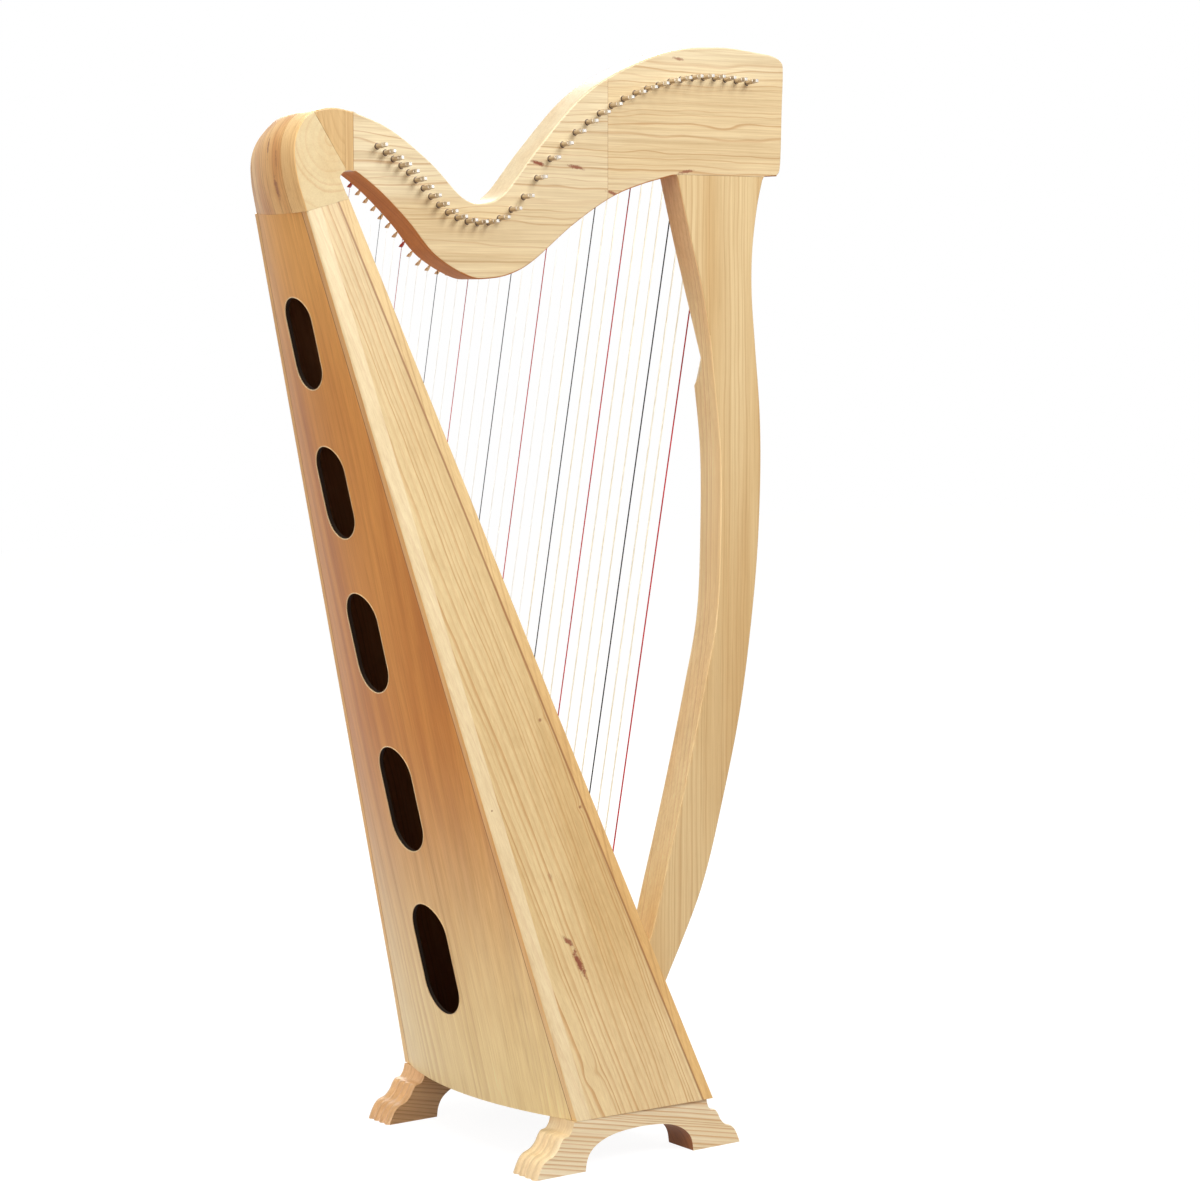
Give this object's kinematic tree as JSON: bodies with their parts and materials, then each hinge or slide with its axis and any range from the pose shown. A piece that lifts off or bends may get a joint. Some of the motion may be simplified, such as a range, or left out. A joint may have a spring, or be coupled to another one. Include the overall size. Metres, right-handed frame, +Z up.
{
  "type": "lever harp",
  "caption": "Free-standing wooden lever harp with a tapered soundbox, bowed back, curved neck and pillar, and sharping levers that flip on their own pivots.",
  "frame": {"origin": "centre of the overall box at floor height", "axes": "+Z up, +X from the back of the soundbox towards the pillar, +Y to the left of the seated player; the strings hang in the plane y = -0.005"},
  "size_m": [0.7315, 0.392, 1.3641],
  "materials": {
    "ash": "clear satin lacquer",
    "honey_ash": "clear satin lacquer",
    "amber_ash": "clear satin lacquer",
    "spruce": "clear lacquer",
    "strings_and_rib": "lacquered rib, plain strings",
    "brass_lever": "polished",
    "red_lever": "gloss"
  },
  "bodies": {
    "frame": {"side_board_right": "ash", "side_board_left": "ash", "front_rail_right": "amber_ash", "front_rail_left": "amber_ash", "soundboard": "spruce", "inner_string_rib": "ash", "back_panel": "honey_ash", "base_block": "ash", "back_brace_1": "spruce", "back_brace_2": "spruce", "back_brace_3": "spruce", "back_brace_4": "spruce", "shoulder_core": "ash", "shoulder_cheek_left": "ash", "shoulder_cheek_right": "ash", "shoulder_wedge": "amber_ash", "shoulder_strip": "amber_ash", "neck": "ash", "pillar": "ash", "string_rib": "strings_and_rib", "foot_right": "ash", "foot_left": "ash"},
    "turning_lever_01": {"lever_01": "red_lever"},
    "turning_lever_02": {"lever_02": "brass_lever"},
    "turning_lever_03": {"lever_03": "brass_lever"},
    "turning_lever_04": {"lever_04": "brass_lever"},
    "turning_lever_05": {"lever_05": "brass_lever"},
    "turning_lever_06": {"lever_06": "brass_lever"},
    "turning_lever_07": {"lever_07": "brass_lever"},
    "turning_lever_08": {"lever_08": "red_lever"},
    "turning_lever_09": {"lever_09": "brass_lever"},
    "turning_lever_10": {"lever_10": "brass_lever"},
    "turning_lever_11": {"lever_11": "brass_lever"},
    "turning_lever_12": {"lever_12": "brass_lever"},
    "turning_lever_13": {"lever_13": "brass_lever"},
    "turning_lever_14": {"lever_14": "brass_lever"},
    "turning_lever_15": {"lever_15": "red_lever"},
    "turning_lever_16": {"lever_16": "brass_lever"},
    "turning_lever_17": {"lever_17": "brass_lever"},
    "turning_lever_18": {"lever_18": "brass_lever"},
    "turning_lever_19": {"lever_19": "brass_lever"},
    "turning_lever_20": {"lever_20": "brass_lever"},
    "turning_lever_21": {"lever_21": "brass_lever"},
    "turning_lever_22": {"lever_22": "red_lever"},
    "turning_lever_23": {"lever_23": "brass_lever"},
    "turning_lever_24": {"lever_24": "brass_lever"},
    "turning_lever_25": {"lever_25": "brass_lever"},
    "turning_lever_26": {"lever_26": "brass_lever"},
    "turning_lever_27": {"lever_27": "brass_lever"},
    "turning_lever_28": {"lever_28": "brass_lever"},
    "turning_lever_29": {"lever_29": "red_lever"},
    "turning_lever_30": {"lever_30": "brass_lever"},
    "turning_lever_31": {"lever_31": "brass_lever"},
    "turning_lever_32": {"lever_32": "brass_lever"},
    "turning_lever_33": {"lever_33": "brass_lever"},
    "turning_lever_34": {"lever_34": "brass_lever"},
    "turning_lever_35": {"lever_35": "brass_lever"},
    "turning_lever_36": {"lever_36": "red_lever"}
  },
  "joints": [
    {"name": "lever_01_hinge", "type": "hinge", "parent": "frame", "child": "turning_lever_01", "pos_m": [-0.24366, -0.005, 1.1932], "axis": [0, -1, 0], "range_deg": [0, 65]},
    {"name": "lever_02_hinge", "type": "hinge", "parent": "frame", "child": "turning_lever_02", "pos_m": [-0.23282, -0.005, 1.18425], "axis": [0, -1, 0], "range_deg": [0, 65]},
    {"name": "lever_03_hinge", "type": "hinge", "parent": "frame", "child": "turning_lever_03", "pos_m": [-0.22215, -0.005, 1.17523], "axis": [0, -1, 0], "range_deg": [0, 65]},
    {"name": "lever_04_hinge", "type": "hinge", "parent": "frame", "child": "turning_lever_04", "pos_m": [-0.21165, -0.005, 1.166], "axis": [0, -1, 0], "range_deg": [0, 65]},
    {"name": "lever_05_hinge", "type": "hinge", "parent": "frame", "child": "turning_lever_05", "pos_m": [-0.20135, -0.005, 1.15641], "axis": [0, -1, 0], "range_deg": [0, 65]},
    {"name": "lever_06_hinge", "type": "hinge", "parent": "frame", "child": "turning_lever_06", "pos_m": [-0.19132, -0.005, 1.14604], "axis": [0, -1, 0], "range_deg": [0, 65]},
    {"name": "lever_07_hinge", "type": "hinge", "parent": "frame", "child": "turning_lever_07", "pos_m": [-0.18153, -0.005, 1.13504], "axis": [0, -1, 0], "range_deg": [0, 65]},
    {"name": "lever_08_hinge", "type": "hinge", "parent": "frame", "child": "turning_lever_08", "pos_m": [-0.17144, -0.005, 1.12358], "axis": [0, -1, 0], "range_deg": [0, 65]},
    {"name": "lever_09_hinge", "type": "hinge", "parent": "frame", "child": "turning_lever_09", "pos_m": [-0.16048, -0.005, 1.11209], "axis": [0, -1, 0], "range_deg": [0, 65]},
    {"name": "lever_10_hinge", "type": "hinge", "parent": "frame", "child": "turning_lever_10", "pos_m": [-0.14844, -0.005, 1.10179], "axis": [0, -1, 0], "range_deg": [0, 65]},
    {"name": "lever_11_hinge", "type": "hinge", "parent": "frame", "child": "turning_lever_11", "pos_m": [-0.13488, -0.005, 1.09557], "axis": [0, -1, 0], "range_deg": [0, 65]},
    {"name": "lever_12_hinge", "type": "hinge", "parent": "frame", "child": "turning_lever_12", "pos_m": [-0.12047, -0.005, 1.09155], "axis": [0, -1, 0], "range_deg": [0, 65]},
    {"name": "lever_13_hinge", "type": "hinge", "parent": "frame", "child": "turning_lever_13", "pos_m": [-0.10556, -0.005, 1.09009], "axis": [0, -1, 0], "range_deg": [0, 65]},
    {"name": "lever_14_hinge", "type": "hinge", "parent": "frame", "child": "turning_lever_14", "pos_m": [-0.09017, -0.005, 1.09097], "axis": [0, -1, 0], "range_deg": [0, 65]},
    {"name": "lever_15_hinge", "type": "hinge", "parent": "frame", "child": "turning_lever_15", "pos_m": [-0.07403, -0.005, 1.09588], "axis": [0, -1, 0], "range_deg": [0, 65]},
    {"name": "lever_16_hinge", "type": "hinge", "parent": "frame", "child": "turning_lever_16", "pos_m": [-0.05684, -0.005, 1.10661], "axis": [0, -1, 0], "range_deg": [0, 65]},
    {"name": "lever_17_hinge", "type": "hinge", "parent": "frame", "child": "turning_lever_17", "pos_m": [-0.03876, -0.005, 1.12203], "axis": [0, -1, 0], "range_deg": [0, 65]},
    {"name": "lever_18_hinge", "type": "hinge", "parent": "frame", "child": "turning_lever_18", "pos_m": [-0.01932, -0.005, 1.14504], "axis": [0, -1, 0], "range_deg": [0, 65]},
    {"name": "lever_19_hinge", "type": "hinge", "parent": "frame", "child": "turning_lever_19", "pos_m": [0.00038, -0.005, 1.16868], "axis": [0, -1, 0], "range_deg": [0, 65]},
    {"name": "lever_20_hinge", "type": "hinge", "parent": "frame", "child": "turning_lever_20", "pos_m": [0.01924, -0.005, 1.18628], "axis": [0, -1, 0], "range_deg": [0, 65]},
    {"name": "lever_21_hinge", "type": "hinge", "parent": "frame", "child": "turning_lever_21", "pos_m": [0.03786, -0.005, 1.20153], "axis": [0, -1, 0], "range_deg": [0, 65]},
    {"name": "lever_22_hinge", "type": "hinge", "parent": "frame", "child": "turning_lever_22", "pos_m": [0.05621, -0.005, 1.2144], "axis": [0, -1, 0], "range_deg": [0, 65]},
    {"name": "lever_23_hinge", "type": "hinge", "parent": "frame", "child": "turning_lever_23", "pos_m": [0.07443, -0.005, 1.22565], "axis": [0, -1, 0], "range_deg": [0, 65]},
    {"name": "lever_24_hinge", "type": "hinge", "parent": "frame", "child": "turning_lever_24", "pos_m": [0.09259, -0.005, 1.23579], "axis": [0, -1, 0], "range_deg": [0, 65]},
    {"name": "lever_25_hinge", "type": "hinge", "parent": "frame", "child": "turning_lever_25", "pos_m": [0.11065, -0.005, 1.24466], "axis": [0, -1, 0], "range_deg": [0, 65]},
    {"name": "lever_26_hinge", "type": "hinge", "parent": "frame", "child": "turning_lever_26", "pos_m": [0.1286, -0.005, 1.25212], "axis": [0, -1, 0], "range_deg": [0, 65]},
    {"name": "lever_27_hinge", "type": "hinge", "parent": "frame", "child": "turning_lever_27", "pos_m": [0.14646, -0.005, 1.25831], "axis": [0, -1, 0], "range_deg": [0, 65]},
    {"name": "lever_28_hinge", "type": "hinge", "parent": "frame", "child": "turning_lever_28", "pos_m": [0.16428, -0.005, 1.26362], "axis": [0, -1, 0], "range_deg": [0, 65]},
    {"name": "lever_29_hinge", "type": "hinge", "parent": "frame", "child": "turning_lever_29", "pos_m": [0.18207, -0.005, 1.26809], "axis": [0, -1, 0], "range_deg": [0, 65]},
    {"name": "lever_30_hinge", "type": "hinge", "parent": "frame", "child": "turning_lever_30", "pos_m": [0.19983, -0.005, 1.27168], "axis": [0, -1, 0], "range_deg": [0, 65]},
    {"name": "lever_31_hinge", "type": "hinge", "parent": "frame", "child": "turning_lever_31", "pos_m": [0.21752, -0.005, 1.27427], "axis": [0, -1, 0], "range_deg": [0, 65]},
    {"name": "lever_32_hinge", "type": "hinge", "parent": "frame", "child": "turning_lever_32", "pos_m": [0.23508, -0.005, 1.27544], "axis": [0, -1, 0], "range_deg": [0, 65]},
    {"name": "lever_33_hinge", "type": "hinge", "parent": "frame", "child": "turning_lever_33", "pos_m": [0.25253, -0.005, 1.27536], "axis": [0, -1, 0], "range_deg": [0, 65]},
    {"name": "lever_34_hinge", "type": "hinge", "parent": "frame", "child": "turning_lever_34", "pos_m": [0.26996, -0.005, 1.27453], "axis": [0, -1, 0], "range_deg": [0, 65]},
    {"name": "lever_35_hinge", "type": "hinge", "parent": "frame", "child": "turning_lever_35", "pos_m": [0.28741, -0.005, 1.27327], "axis": [0, -1, 0], "range_deg": [0, 65]},
    {"name": "lever_36_hinge", "type": "hinge", "parent": "frame", "child": "turning_lever_36", "pos_m": [0.30497, -0.005, 1.272], "axis": [0, -1, 0], "range_deg": [0, 65]}
  ]
}
